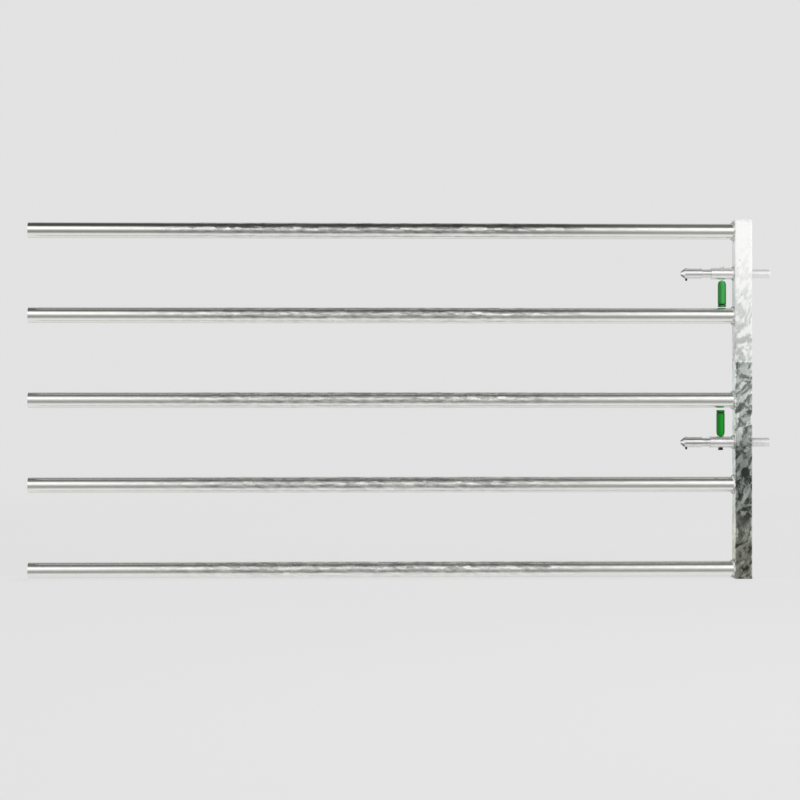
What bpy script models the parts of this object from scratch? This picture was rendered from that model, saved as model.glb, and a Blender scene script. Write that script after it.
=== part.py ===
"""Sliding half of an extending cattle gate: five rails on one upright, with two draw bolts.

Metres, +Z up. The origin is the centre of the upright's foot. The rails run from the
upright towards -X, the bolts shoot towards +X, and -Y is the front of the gate.
"""

import math

import bmesh
import bpy

# Driving dimensions of the gate frame
RAIL_COUNT = 5
RAIL_PITCH = 0.240
BOTTOM_MARGIN = 0.028
TOP_MARGIN = 0.032
RAIL_LENGTH = 2.000
RAIL_DIAMETER = 0.045
RAIL_WALL = 0.002
UPRIGHT_SIDE = 0.050
UPRIGHT_WALL = 0.003
UPRIGHT_CORNER = 0.005
CAP_THICKNESS = 0.003
CAP_VENT_DIAMETER = 0.010
RAIL_VENT_DIAMETER = 0.014
PIN_ACCESS_DIAMETER = 0.008
RAIL_WELD_LEG = 0.005
WELD_FULLNESS = 0.62

# Driving dimensions of one latch
BOLT_DIAMETER = 0.025
BOLT_NOSE_LENGTH = 0.0545
BOLT_TAIL_LENGTH = 0.1408
BOLT_CHAMFER = 0.003
SLEEVE_WALL = 0.0036
SLEEVE_PAST_HANDLE = 0.031
SLEEVE_WELD_LEG = 0.004
UPPER_HANDLE_SETBACK = 0.033
LOWER_HANDLE_SETBACK = 0.037
STEM_DIAMETER = 0.008
HEX_ACROSS_FLATS = 0.013
HEX_HEIGHT = 0.0053
GRIP_DIAMETER = 0.024
GRIP_NECK_DIAMETER = 0.019
GRIP_SOLID_END = 0.029
GRIP_EDGE_RADIUS = 0.004
GRIP_GROOVE_INSET = 0.009
GRIP_GROOVE_WIDTH = 0.003
GRIP_GROOVE_DEPTH = 0.0012
COLLAR_WALL = 0.0022
COLLAR_LENGTH = 0.050
COLLAR_TIP_LENGTH = 0.011
COLLAR_TIP_DIAMETER = 0.010
COLLAR_PIN_DIAMETER = 0.006
COLLAR_PIN_INSET = 0.0055
COLLAR_PIN_ABOVE = 0.0005
COLLAR_PIN_BELOW = 0.0055
RETAINING_PIN_DIAMETER = 0.005
PIN_EASE = 0.12

# Clearances
TOUCH = 0.0003
SLIDE_GAP = 0.0005
SLEEVE_GAP = 0.00075
UPPER_GRIP_GAP = 0.00465
LOWER_GRIP_GAP = 0.00065
GRIP_RAIL_GAP = 0.002
RETAINING_PIN_END_GAP = 0.003

# Facets of round pieces, and the angle above which an edge stays sharp
RAIL_FACETS = 32
BOLT_FACETS = 32
SMALL_FACETS = 20
CORNER_FACETS = 4
SHARP_ANGLE = math.radians(40)

# Places that follow from the dimensions
HALF_SIDE = UPRIGHT_SIDE / 2
RAIL_RADIUS = RAIL_DIAMETER / 2
RAIL_HEIGHTS = [BOTTOM_MARGIN + i * RAIL_PITCH for i in range(RAIL_COUNT)]
GATE_HEIGHT = RAIL_HEIGHTS[-1] + TOP_MARGIN
JOINT_FACE_X = -HALF_SIDE - TOUCH
CAVITY_HALF = HALF_SIDE - UPRIGHT_WALL
BOLT_RADIUS = BOLT_DIAMETER / 2
BOLT_HOLE_DIAMETER = BOLT_DIAMETER + 2 * SLIDE_GAP
SLEEVE_BORE_RADIUS = BOLT_RADIUS + SLEEVE_GAP
SLEEVE_RADIUS = SLEEVE_BORE_RADIUS + SLEEVE_WALL
COLLAR_RADIUS = BOLT_RADIUS + TOUCH + COLLAR_WALL
BOLT_NOSE_X = HALF_SIDE + BOLT_NOSE_LENGTH
BOLT_TAIL_X = -HALF_SIDE - BOLT_TAIL_LENGTH
COLLAR_PIN_X = BOLT_TAIL_X + COLLAR_PIN_INSET
RETAINING_PIN_X = CAVITY_HALF - SLIDE_GAP - RETAINING_PIN_DIAMETER / 2
RETAINING_PIN_LENGTH = 2 * (CAVITY_HALF - RETAINING_PIN_END_GAP)
GRIP_REACH = RAIL_PITCH / 2 - RAIL_RADIUS - GRIP_RAIL_GAP
GRIP_LENGTH = GRIP_REACH - SLEEVE_RADIUS - UPPER_GRIP_GAP
STEM_IN_GRIP = GRIP_LENGTH - GRIP_SOLID_END
UPPER_AXIS_Z = (RAIL_HEIGHTS[-2] + RAIL_HEIGHTS[-1]) / 2
LOWER_AXIS_Z = (RAIL_HEIGHTS[1] + RAIL_HEIGHTS[2]) / 2
LATCHES = (
    ("upper", UPPER_AXIS_Z, -1, SLEEVE_RADIUS + UPPER_GRIP_GAP, UPPER_HANDLE_SETBACK),
    ("lower", LOWER_AXIS_Z, 1, SLEEVE_RADIUS + LOWER_GRIP_GAP, LOWER_HANDLE_SETBACK),
)

# Directions that a piece's own +Z can be turned to
TO_LEFT = (0, -math.pi / 2, 0)
TO_BACK = (-math.pi / 2, 0, 0)
UPWARD = (0, 0, 0)
DOWNWARD = (math.pi, 0, 0)


def clear_scene():
    """Remove whatever the file opened with."""
    for obj in list(bpy.data.objects):
        bpy.data.objects.remove(obj, do_unlink=True)


def make_collection(name):
    """Add a collection to the scene."""
    collection = bpy.data.collections.new(name)
    bpy.context.scene.collection.children.link(collection)
    return collection


def make_material(name, color, roughness, metallic):
    """A Principled material of one colour."""
    material = bpy.data.materials.new(name)
    material.use_nodes = True
    shader = material.node_tree.nodes["Principled BSDF"]
    shader.inputs["Base Color"].default_value = (*color, 1)
    shader.inputs["Roughness"].default_value = roughness
    shader.inputs["Metallic"].default_value = metallic
    return material


clear_scene()
GATE = make_collection("cattle_gate")
CUTTERS = make_collection("cutters")
GALVANISED = make_material("galvanised_steel", (0.60, 0.61, 0.61), 0.35, 1)
WELD_ZINC = make_material("weld_zinc", (0.45, 0.46, 0.46), 0.5, 1)
BRIGHT_ZINC = make_material("bright_zinc", (0.72, 0.73, 0.74), 0.3, 1)
BLACK_STEEL = make_material("black_steel", (0.02, 0.02, 0.02), 0.45, 0.8)
GREEN_PLASTIC = make_material("green_plastic", (0.01, 0.22, 0.03), 0.35, 0)
STEM_FINISHES = {"upper": BRIGHT_ZINC, "lower": BLACK_STEEL}


def mesh_object(name, mesh, collection=GATE, location=(0, 0, 0), turn=UPWARD, parent=None):
    """Put a mesh in the scene as a named object, under its parent if it has one."""
    obj = bpy.data.objects.new(name, mesh)
    collection.objects.link(obj)
    obj.rotation_euler = turn
    obj.location = location
    if parent:
        obj.parent = parent
        obj.location = [place - own for place, own in zip(location, parent.location)]
    return obj


def turned(name, profile, facets, material, **place):
    """A turned piece: (radius, height) points, run down the outer side, spun about +Z."""
    mesh = bpy.data.meshes.new(name)
    points = [(radius, 0, height) for radius, height in profile]
    edges = [(i, i + 1) for i in range(len(points) - 1)]
    if points[0][0] > 0:
        edges.append((len(points) - 1, 0))
    mesh.from_pydata(points, edges, [])
    obj = mesh_object(name, mesh, **place)
    screw = obj.modifiers.new("spin", "SCREW")
    screw.axis = "Z"
    screw.steps = facets
    screw.render_steps = facets
    screw.use_merge_vertices = True
    screw.merge_threshold = 1e-5
    screw.use_smooth_shade = True
    obj.data.materials.append(material)
    return obj


def ring_profile(inner, outer, length):
    """The section of a plain tube that starts at height 0."""
    return [(outer, length), (outer, 0), (inner, 0), (inner, length)]


def weld_profile(radius, leg):
    """The section of a slightly full fillet weld round a tube, its flat side at height 0."""
    bulge = WELD_FULLNESS * leg
    return [(radius, leg), (radius + bulge, bulge), (radius + leg, 0), (radius, 0)]


def arc(centre, radius, start, end, steps):
    """Points of a flat arc, in degrees."""
    angles = [math.radians(start + (end - start) * i / steps) for i in range(steps + 1)]
    return [(centre[0] + radius * math.cos(a), centre[1] + radius * math.sin(a)) for a in angles]


def circle(centre, radius, facets):
    """Points of a full circle, the first one not repeated."""
    return arc(centre, radius, 0, 360, facets)[:-1]


def rounded_square(side, corner):
    """The outline of a square with round corners."""
    reach = side / 2 - corner
    points = []
    for quarter, (x, y) in enumerate(((1, 1), (-1, 1), (-1, -1), (1, -1))):
        points += arc((x * reach, y * reach), corner, 90 * quarter, 90 * quarter + 90, CORNER_FACETS)
    return points


def plate(name, outlines, thickness, material, location):
    """A flat piece cut to its outlines, the later ones being holes in the first."""
    curve = bpy.data.curves.new(name, "CURVE")
    curve.dimensions = "2D"
    curve.fill_mode = "BOTH"
    curve.extrude = thickness / 2
    for outline in outlines:
        spline = curve.splines.new("POLY")
        spline.points.add(len(outline) - 1)
        for point, (x, y) in zip(spline.points, outline):
            point.co = (x, y, 0, 1)
        spline.use_cyclic_u = True
    curve.materials.append(material)
    obj = bpy.data.objects.new(name, curve)
    GATE.objects.link(obj)
    obj.location = location
    return obj


def as_mesh(obj):
    """Swap a curve object for a mesh object of the same name and place, with its seams welded."""
    bpy.context.view_layer.update()
    evaluated = obj.evaluated_get(bpy.context.evaluated_depsgraph_get())
    mesh = bpy.data.meshes.new_from_object(evaluated)
    shape = bmesh.new()
    shape.from_mesh(mesh)
    bmesh.ops.remove_doubles(shape, verts=shape.verts, dist=1e-5)
    shape.to_mesh(mesh)
    shape.free()
    name = obj.name
    matrix = obj.matrix_world.copy()
    bpy.data.objects.remove(obj, do_unlink=True)
    swapped = mesh_object(name, mesh)
    swapped.matrix_world = matrix
    return swapped


def as_cutter(obj):
    """Keep a cutter out of the model and show it as wire."""
    obj.hide_render = True
    obj.display_type = "WIRE"
    return obj


def round_cutter(name, diameter, length, location, turn, parent=None, facets=SMALL_FACETS):
    """A drill of a given length, centred on its location."""
    mesh = bpy.data.meshes.new(name)
    shape = bmesh.new()
    bmesh.ops.create_cone(
        shape,
        cap_ends=True,
        segments=facets,
        radius1=diameter / 2,
        radius2=diameter / 2,
        depth=length,
    )
    shape.to_mesh(mesh)
    shape.free()
    return as_cutter(
        mesh_object(name, mesh, collection=CUTTERS, location=location, turn=turn, parent=parent)
    )


def box_cutter(name, size, location):
    """A box of a given size, centred on its location."""
    mesh = bpy.data.meshes.new(name)
    shape = bmesh.new()
    bmesh.ops.create_cube(shape, size=1)
    bmesh.ops.scale(shape, vec=size, verts=shape.verts)
    shape.to_mesh(mesh)
    shape.free()
    return as_cutter(mesh_object(name, mesh, collection=CUTTERS, location=location))


def cut(obj, cutter, operation="DIFFERENCE"):
    """Add a Boolean modifier."""
    boolean = obj.modifiers.new(cutter.name, "BOOLEAN")
    boolean.operation = operation
    boolean.solver = "EXACT"
    boolean.object = cutter


def make_upright():
    """Square tube, drilled for the bolts, their pins and, behind each rail, the zinc's way out."""
    outlines = (
        rounded_square(UPRIGHT_SIDE, UPRIGHT_CORNER),
        rounded_square(UPRIGHT_SIDE - 2 * UPRIGHT_WALL, UPRIGHT_CORNER - UPRIGHT_WALL),
    )
    length = GATE_HEIGHT - 2 * (CAP_THICKNESS + TOUCH)
    tube = as_mesh(plate("upright", outlines, length, GALVANISED, (0, 0, GATE_HEIGHT / 2)))
    through = 2 * UPRIGHT_SIDE
    one_wall = 4 * UPRIGHT_WALL
    for prefix, axis_z, *_ in LATCHES:
        name = f"{prefix}_bolt_hole_cutter"
        place = (0, 0, axis_z)
        cut(tube, round_cutter(name, BOLT_HOLE_DIAMETER, through, place, TO_LEFT, facets=BOLT_FACETS))
        name = f"{prefix}_pin_access_cutter"
        place = (0, HALF_SIDE, axis_z)
        cut(tube, round_cutter(name, PIN_ACCESS_DIAMETER, one_wall, place, TO_BACK))
    for number, rail_z in enumerate(RAIL_HEIGHTS, 1):
        name = f"rail_{number}_vent_cutter"
        place = (-HALF_SIDE, 0, rail_z)
        cut(tube, round_cutter(name, RAIL_VENT_DIAMETER, one_wall, place, TO_LEFT))
    tube.data.shade_smooth()
    tube.data.set_sharp_from_angle(angle=SHARP_ANGLE)


def make_caps():
    """Plates that close the upright's ends, each with a vent off its centre."""
    vent_x = CAVITY_HALF - CAP_VENT_DIAMETER
    outlines = (
        rounded_square(UPRIGHT_SIDE, UPRIGHT_CORNER),
        circle((vent_x, 0), CAP_VENT_DIAMETER / 2, SMALL_FACETS),
    )
    half = CAP_THICKNESS / 2
    plate("bottom_cap", outlines, CAP_THICKNESS, GALVANISED, (0, 0, half))
    plate("top_cap", outlines, CAP_THICKNESS, GALVANISED, (0, 0, GATE_HEIGHT - half))


def make_rails():
    """Round rails, butted to the upright and open at their free ends, with a weld round each."""
    trim_side = UPRIGHT_SIDE - 4 * TOUCH
    trim = box_cutter(
        "weld_trim",
        (UPRIGHT_SIDE, trim_side, 2 * GATE_HEIGHT),
        (-UPRIGHT_SIDE, 0, GATE_HEIGHT / 2),
    )
    for number, rail_z in enumerate(reversed(RAIL_HEIGHTS), 1):
        place = {"location": (JOINT_FACE_X, 0, rail_z), "turn": TO_LEFT}
        section = ring_profile(RAIL_RADIUS - RAIL_WALL, RAIL_RADIUS, RAIL_LENGTH)
        turned(f"rail_{number}", section, RAIL_FACETS, GALVANISED, **place)
        bead = weld_profile(RAIL_RADIUS + TOUCH, RAIL_WELD_LEG)
        weld = turned(f"rail_weld_{number}", bead, RAIL_FACETS, WELD_ZINC, **place)
        cut(weld, trim, "INTERSECT")


def make_sleeve(prefix, axis_z, setback):
    """Guide tube on the upright, slotted from its free end for the handle to pass."""
    place = {"location": (JOINT_FACE_X, 0, axis_z), "turn": TO_LEFT}
    length = setback + SLEEVE_PAST_HANDLE
    section = ring_profile(SLEEVE_BORE_RADIUS, SLEEVE_RADIUS, length)
    sleeve = turned(f"{prefix}_guide_sleeve", section, BOLT_FACETS, GALVANISED, **place)
    slot_width = STEM_DIAMETER + 2 * SLIDE_GAP
    slot_length = 2 * length
    through = 4 * SLEEVE_RADIUS
    slot_end_x = -HALF_SIDE - setback
    slot_end = (slot_end_x, 0, axis_z)
    cut(sleeve, round_cutter(f"{prefix}_slot_end_cutter", slot_width, through, slot_end, UPWARD))
    middle = (slot_end_x - slot_length / 2, 0, axis_z)
    cut(sleeve, box_cutter(f"{prefix}_slot_cutter", (slot_length, slot_width, through), middle))
    bead = weld_profile(SLEEVE_RADIUS + TOUCH, SLEEVE_WELD_LEG)
    turned(f"{prefix}_sleeve_weld", bead, BOLT_FACETS, WELD_ZINC, **place)


def make_bolt(prefix, axis_z, handle_x, slide):
    """Round bar through sleeve and upright, drilled for the stem and both pins."""
    length = BOLT_NOSE_X - BOLT_TAIL_X
    slim = BOLT_RADIUS - BOLT_CHAMFER
    section = [
        (0, length),
        (BOLT_RADIUS, length),
        (BOLT_RADIUS, BOLT_CHAMFER),
        (slim, 0),
        (0, 0),
    ]
    place = {"location": (BOLT_NOSE_X, 0, axis_z), "turn": TO_LEFT, "parent": slide}
    bar = turned(f"{prefix}_draw_bolt", section, BOLT_FACETS, BRIGHT_ZINC, **place)
    drills = (
        ("stem", STEM_DIAMETER, handle_x, UPWARD),
        ("collar_pin", COLLAR_PIN_DIAMETER, COLLAR_PIN_X, UPWARD),
        ("retaining_pin", RETAINING_PIN_DIAMETER, RETAINING_PIN_X, TO_BACK),
    )
    for use, diameter, x, turn in drills:
        name = f"{prefix}_bolt_{use}_cutter"
        middle = (x, 0, axis_z)
        cut(bar, round_cutter(name, diameter + 2 * TOUCH, 2 * BOLT_DIAMETER, middle, turn, slide))


def make_collar(prefix, axis_z, slide):
    """Pull collar over the bolt's tail, coned at its end, with the pin that holds it."""
    outer = COLLAR_RADIUS
    bore = BOLT_RADIUS + TOUCH
    floor = COLLAR_LENGTH + TOUCH
    tip = COLLAR_LENGTH + COLLAR_TIP_LENGTH
    section = [
        (0, tip),
        (COLLAR_TIP_DIAMETER / 2, tip),
        (outer, COLLAR_LENGTH),
        (outer, 0),
        (bore, 0),
        (bore, floor),
        (0, floor),
    ]
    mouth = (BOLT_TAIL_X + COLLAR_LENGTH, 0, axis_z)
    place = {"location": mouth, "turn": TO_LEFT, "parent": slide}
    collar = turned(f"{prefix}_pull_collar", section, BOLT_FACETS, BRIGHT_ZINC, **place)
    name = f"{prefix}_collar_pin_cutter"
    middle = (COLLAR_PIN_X, 0, axis_z)
    drill = COLLAR_PIN_DIAMETER + 2 * TOUCH
    cut(collar, round_cutter(name, drill, 4 * outer, middle, UPWARD, slide))
    length = 2 * outer + COLLAR_PIN_ABOVE + COLLAR_PIN_BELOW
    foot = (COLLAR_PIN_X, 0, axis_z - outer - COLLAR_PIN_BELOW)
    make_pin(f"{prefix}_collar_pin", COLLAR_PIN_DIAMETER, length, foot, UPWARD, slide)


def make_pin(name, diameter, length, start, turn, slide):
    """Plain pin with its ends eased."""
    ease = PIN_EASE * diameter
    radius = diameter / 2
    section = [
        (0, length),
        (radius - ease, length),
        (radius, length - ease),
        (radius, ease),
        (radius - ease, 0),
        (0, 0),
    ]
    turned(name, section, SMALL_FACETS, BLACK_STEEL, location=start, turn=turn, parent=slide)


def make_stem(prefix, axis_z, side, standoff, handle_x, slide):
    """Hexagon-headed stem through the bolt, its head outside the sleeve."""
    turn = UPWARD if side > 0 else DOWNWARD
    head_under = SLEEVE_RADIUS + SLIDE_GAP
    start = (handle_x, 0, axis_z - side * head_under)
    length = head_under + standoff + STEM_IN_GRIP
    ease = PIN_EASE * STEM_DIAMETER
    radius = STEM_DIAMETER / 2
    section = [
        (0, length),
        (radius - ease, length),
        (radius, length - ease),
        (radius, -HEX_HEIGHT / 2),
        (0, -HEX_HEIGHT / 2),
    ]
    place = {"location": start, "turn": turn, "parent": slide}
    stem = turned(f"{prefix}_handle_stem", section, SMALL_FACETS, STEM_FINISHES[prefix], **place)
    across_corners = HEX_ACROSS_FLATS / math.cos(math.pi / 6)
    middle = (handle_x, 0, start[2] - side * HEX_HEIGHT / 2)
    head = round_cutter(f"{prefix}_hex_head", across_corners, HEX_HEIGHT, middle, turn, slide, facets=6)
    cut(stem, head, "UNION")


def make_grip(prefix, axis_z, side, standoff, handle_x, slide):
    """Plastic grip screwed on the stem, solid past its end, with a groove near the tip."""
    bore = STEM_DIAMETER / 2 + TOUCH
    outer = GRIP_DIAMETER / 2
    neck = GRIP_NECK_DIAMETER / 2
    floor = STEM_IN_GRIP + TOUCH
    end_centre = (outer - GRIP_EDGE_RADIUS, GRIP_LENGTH - GRIP_EDGE_RADIUS)
    groove_top = GRIP_LENGTH - GRIP_GROOVE_INSET
    groove_middle = (outer - GRIP_GROOVE_DEPTH, groove_top - GRIP_GROOVE_WIDTH / 2)
    section = [(0, GRIP_LENGTH)]
    section += arc(end_centre, GRIP_EDGE_RADIUS, 90, 0, CORNER_FACETS)
    section += [(outer, groove_top), groove_middle, (outer, groove_top - GRIP_GROOVE_WIDTH)]
    section += arc((neck, outer - neck), outer - neck, 0, -90, CORNER_FACETS)
    section += [(bore, 0), (bore, floor), (0, floor)]
    near_end = (handle_x, 0, axis_z + side * standoff)
    place = {"location": near_end, "turn": UPWARD if side > 0 else DOWNWARD, "parent": slide}
    turned(f"{prefix}_handle_grip", section, SMALL_FACETS, GREEN_PLASTIC, **place)


def make_latch(prefix, axis_z, side, standoff, setback):
    """One draw bolt with its guide, its handle and its pins."""
    make_sleeve(prefix, axis_z, setback)
    slide = bpy.data.objects.new(f"{prefix}_bolt_slide", None)
    GATE.objects.link(slide)
    slide.location = (0, 0, axis_z)
    handle_x = -HALF_SIDE - setback
    make_bolt(prefix, axis_z, handle_x, slide)
    make_collar(prefix, axis_z, slide)
    make_stem(prefix, axis_z, side, standoff, handle_x, slide)
    make_grip(prefix, axis_z, side, standoff, handle_x, slide)
    pin = f"{prefix}_retaining_pin"
    start = (RETAINING_PIN_X, -RETAINING_PIN_LENGTH / 2, axis_z)
    make_pin(pin, RETAINING_PIN_DIAMETER, RETAINING_PIN_LENGTH, start, TO_BACK, slide)


make_upright()
make_caps()
make_rails()
for latch in LATCHES:
    make_latch(*latch)
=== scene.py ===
"""Looks of the sliding half of an extending cattle gate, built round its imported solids.

Metres, +Z up, in the frame of the solids: the origin is the centre of the upright's foot,
the rails run towards -X, the bolts shoot towards +X, and -Y is the front of the gate.
"""

import math

import bmesh
import bpy
from bpy.props import FloatProperty, FloatVectorProperty, IntProperty, PointerProperty
from mathutils import Matrix, Vector


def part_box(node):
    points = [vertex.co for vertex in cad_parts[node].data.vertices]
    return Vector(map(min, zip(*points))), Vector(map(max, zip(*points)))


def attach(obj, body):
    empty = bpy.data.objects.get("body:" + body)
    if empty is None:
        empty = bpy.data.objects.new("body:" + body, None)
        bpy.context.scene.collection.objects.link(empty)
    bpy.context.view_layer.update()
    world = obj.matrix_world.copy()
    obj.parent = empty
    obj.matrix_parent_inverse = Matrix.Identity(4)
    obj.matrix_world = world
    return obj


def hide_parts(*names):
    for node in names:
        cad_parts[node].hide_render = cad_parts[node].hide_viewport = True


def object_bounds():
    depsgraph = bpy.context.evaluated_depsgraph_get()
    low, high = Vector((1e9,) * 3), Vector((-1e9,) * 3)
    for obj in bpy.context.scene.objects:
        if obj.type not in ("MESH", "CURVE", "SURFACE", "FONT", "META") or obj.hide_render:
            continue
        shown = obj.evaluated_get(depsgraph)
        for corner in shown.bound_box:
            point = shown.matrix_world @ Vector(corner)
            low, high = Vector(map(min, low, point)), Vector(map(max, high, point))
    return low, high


bl_info = {
    "name": "Cattle gate",
    "version": (1, 0, 0),
    "blender": (4, 5, 0),
    "location": "3D View > Sidebar > Gate",
    "description": "Galvanised sliding half of a cattle gate, with its two draw bolts",
    "category": "Object",
}

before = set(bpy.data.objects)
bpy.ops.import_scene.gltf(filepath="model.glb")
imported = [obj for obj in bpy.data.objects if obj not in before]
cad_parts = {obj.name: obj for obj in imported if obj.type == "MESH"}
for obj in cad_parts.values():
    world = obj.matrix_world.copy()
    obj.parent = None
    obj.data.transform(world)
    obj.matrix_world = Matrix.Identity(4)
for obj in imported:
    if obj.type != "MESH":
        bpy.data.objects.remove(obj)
CAD_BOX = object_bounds()

# Axes, the frame's body and nodes, and the latches with the side that their handles stand on
X, Y, Z = range(3)
GATE_BODY = "gate_frame"
RAILS = [f"rail_{number}" for number in range(1, 6)]
RAIL_WELDS = [f"rail_weld_{number}" for number in range(1, 6)]
SLEEVES = ["upper_guide_sleeve", "lower_guide_sleeve"]
SLEEVE_WELDS = ["upper_sleeve_weld", "lower_sleeve_weld"]
LATCHES = (("upper", -1), ("lower", 1))
# Painted shade: the lower stem is black where the upper one, the same part, is bright zinc
STEM_FINISHES = {
    "upper": ("bright_zinc_bar", "bright_zinc"),
    "lower": ("blackened_steel_and_painted_shade", "black_steel"),
}

# Facets round the pieces, steps along them, and the angle above which an edge stays sharp
TUBE_FACETS = 72
RAIL_STEPS = 120
WELD_FACETS = 216
WELD_STEPS = 11
SEAM_STEPS = 260
SEAM_FACETS = 10
BAR_FACETS = 64
PIN_FACETS = 36
HEAD_FACETS = 72
GRIP_FACETS = 96
CORNER_FACETS = 10
SHOULDER_STEPS = 12
THREAD_STEPS = 8
SHARP_ANGLE = math.radians(35)

# Gap at which points merge, play round and past pins, and how far welds start in the metal
MERGE_GAP = 2e-6
DRILL_PLAY = 0.0006
BLIND_PLAY = 0.0003
WELD_BITE = 0.0002
SEAM_INSET = 0.0003

# The welds: how hollow the fillet is, how it thins and rounds at its sides, ripples and lumps
FILLET_HOLLOW = 0.55
SIDE_THINNING = 0.7
SIDE_ROUNDING = 0.9
RAIL_WELD_RIPPLES = 34
SLEEVE_WELD_RIPPLES = 26
RIPPLE_MIDDLE = 0.6
LUMP_DEPTH = 0.0009
LUMP_MIDDLE = 0.62
SEAM_RIPPLES = 1900
SEAM_LUMPS = 0.7

# The hexagon head: its turned rim, of the flats, and how far its corners fall
HEAD_RIM = 0.96
HEAD_FALL = 0.55

# The grip: edges of its groove, lead-in of its bore, and the ridge of the mould's seam
GROOVE_LIP = 0.001
GROOVE_EASE = 0.0008
BORE_LEAD = 0.0005
RIDGE_HEIGHT = 0.0002
RIDGE_START = 0.002
RIDGE_ANGLE = 0.03

# The stage: floor, lamps with their shares of the key power, and the camera
FLOOR_RADIUS = 9
FLOOR_DROP = 0.0005
FLOOR_GLOW = 0.82
FLOOR_MATT = 0.26
FLOOR_FADE = (2.5, 7)
LAMP_SIZE = 2.5
LAMP_AIM = 0.5
LAMPS = {"key_lamp": (1, (0.9, -3.9, 3.2)), "back_lamp": (0.3, (0.8, 3.4, 3.2))}
CAMERA_PLACE = (-1.185, -6.43, 0.508)
CAMERA_TURN = (math.pi / 2, 0, -0.0325)
SENSOR_WIDTH = 36

# Directions that a turned piece's own +Z can be laid along
TO_LEFT = Matrix.Rotation(-math.pi / 2, 4, "Y")
TO_BACK = Matrix.Rotation(-math.pi / 2, 4, "X")
UPWARD = Matrix.Identity(4)
DOWNWARD = Matrix.Rotation(math.pi, 4, "X")


def low(node, axis):
    """A solid's lowest place along an axis."""
    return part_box(node)[0][axis]


def high(node, axis):
    """A solid's highest place along an axis."""
    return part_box(node)[1][axis]


def middle(node, axis):
    """The middle of a solid along an axis."""
    return (low(node, axis) + high(node, axis)) / 2


def span(node, axis):
    """A solid's size along an axis."""
    return high(node, axis) - low(node, axis)


def heights(nodes):
    """The middle heights of some solids."""
    return [middle(node, Z) for node in nodes]


def tip(node, side):
    """The height of a solid's top where side is 1, or of its foot where it is -1."""
    return high(node, Z) if side > 0 else low(node, Z)


def setting(kind, **limits):
    """A kind of setting that a user can change, made from a name, a description and a default."""

    def make(name, description, default):
        return kind(name=name, description=description, default=default, **limits)

    return make


length = setting(FloatProperty, min=0, precision=4, unit="LENGTH")
share = setting(FloatProperty, min=0, max=1, subtype="FACTOR")
ratio = setting(FloatProperty, min=1)
power = setting(FloatProperty, min=0, unit="POWER")
focal_length = setting(FloatProperty, min=1, unit="CAMERA")
facet_count = setting(IntProperty, min=3)
colour = setting(FloatVectorProperty, min=0, max=1, size=3, subtype="COLOR")


class FrameSizes(bpy.types.PropertyGroup):
    """Sizes of the welded frame"""

    rail_diameter: length("Rail diameter", "Outside of the round rails", span("rail_1", Z))
    rail_wall: length("Rail wall", "Wall of the round rails", 0.002)
    rail_waviness: length("Rail waviness", "How far the zinc stands off a true tube", 0.00008)
    upright_wall: length("Upright wall", "Wall of the square upright", 0.003)
    upright_corner: length("Upright corner", "Outside corner radius of the upright", 0.005)
    bolt_hole: length("Bolt hole", "Holes in the upright for the bolts", 0.026)
    pin_access: length("Pin access", "Holes in the back for the retaining pins", 0.008)
    rail_vent: length("Rail vent", "Holes behind the rails that let the zinc out", 0.014)
    cap_vent: length("Cap vent", "Hole in each end plate", 0.010)
    rail_weld_leg: length("Rail weld", "Leg of the weld round a rail", 0.005)
    sleeve_weld_leg: length("Sleeve weld", "Leg of the weld round a sleeve", 0.004)
    cap_weld_radius: length("Cap weld", "Half width of the weld on an end plate", 0.0014)
    weld_run: ratio("Weld run", "A weld's reach along its tube, of that up the upright", 1.7)
    weld_ripple: share("Weld ripple", "How strongly the weld's ripples stand out", 0.12)
    edge_ease: length("Edge ease", "How far cut edges are rounded by the zinc", 0.0005)


class LatchSizes(bpy.types.PropertyGroup):
    """Sizes of the two draw bolts"""

    bolt_diameter: length("Bolt diameter", "The round bar", span("upper_draw_bolt", Z))
    bolt_chamfer: length("Bolt chamfer", "Chamfer of the nose", 0.003)
    sleeve_bore: length("Sleeve bore", "Inside of the guide sleeve", 0.0265)
    slot_width: length("Slot width", "Slot that the stem travels in", 0.009)
    stem_diameter: length("Stem diameter", "Threaded stem of the handle", 0.008)
    thread_pitch: length("Thread pitch", "Rise of the stem's thread in one turn", 0.00125)
    thread_depth: length("Thread depth", "Depth of the stem's thread", 0.0005)
    hex_flats: length("Head across flats", "Hexagon head of the stem", 0.013)
    hex_height: length("Head height", "Height of the hexagon head", 0.0053)
    grip_neck: length("Grip neck", "Diameter of the grip at its near end", 0.013)
    grip_shoulder: length("Grip shoulder", "Length of the grip's rounded near end", 0.014)
    grip_edge: length("Grip edge", "Rounding of the grip's far end", 0.003)
    groove_inset: length("Groove inset", "From the grip's far end to its groove", 0.0055)
    groove_width: length("Groove width", "Width of the grip's groove", 0.0032)
    groove_depth: length("Groove depth", "Depth of the grip's groove", 0.0024)
    collar_bore: length("Collar bore", "Inside of the pull collar", 0.0256)
    collar_length: length("Collar length", "Straight part of the pull collar", 0.050)
    collar_tip: length("Collar tip", "Small end of the collar's cone", 0.010)
    pin_ease: share("Pin ease", "Rounding of the pins' ends, of their diameter", 0.12)


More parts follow.
